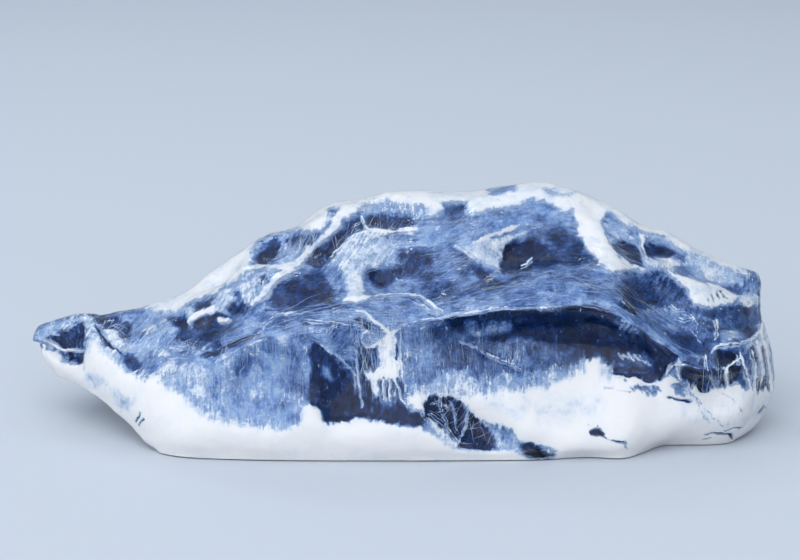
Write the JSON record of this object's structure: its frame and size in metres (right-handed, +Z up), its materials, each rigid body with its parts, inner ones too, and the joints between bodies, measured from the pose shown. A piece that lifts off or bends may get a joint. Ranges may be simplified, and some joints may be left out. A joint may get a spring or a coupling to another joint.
{
  "type": "ice block",
  "caption": "Clear melt-sculpted block of ice with a thin nose, an overhanging ledge and scooped faces, lying on its flat base.",
  "frame": {"origin": "middle of the block's bounding box, at the level of its flat base, on the surface it lies on", "axes": "+X from the thin nose to the broken end, along the length; +Y from the ledged front to the back; +Z up from the flat base"},
  "size_m": [0.298, 0.124, 0.0905],
  "materials": {
    "ice": "wet, melt-smoothed clear ice with white fractured and frosted zones"
  },
  "bodies": {
    "root": {"ice_block": "ice"}
  },
  "joints": []
}
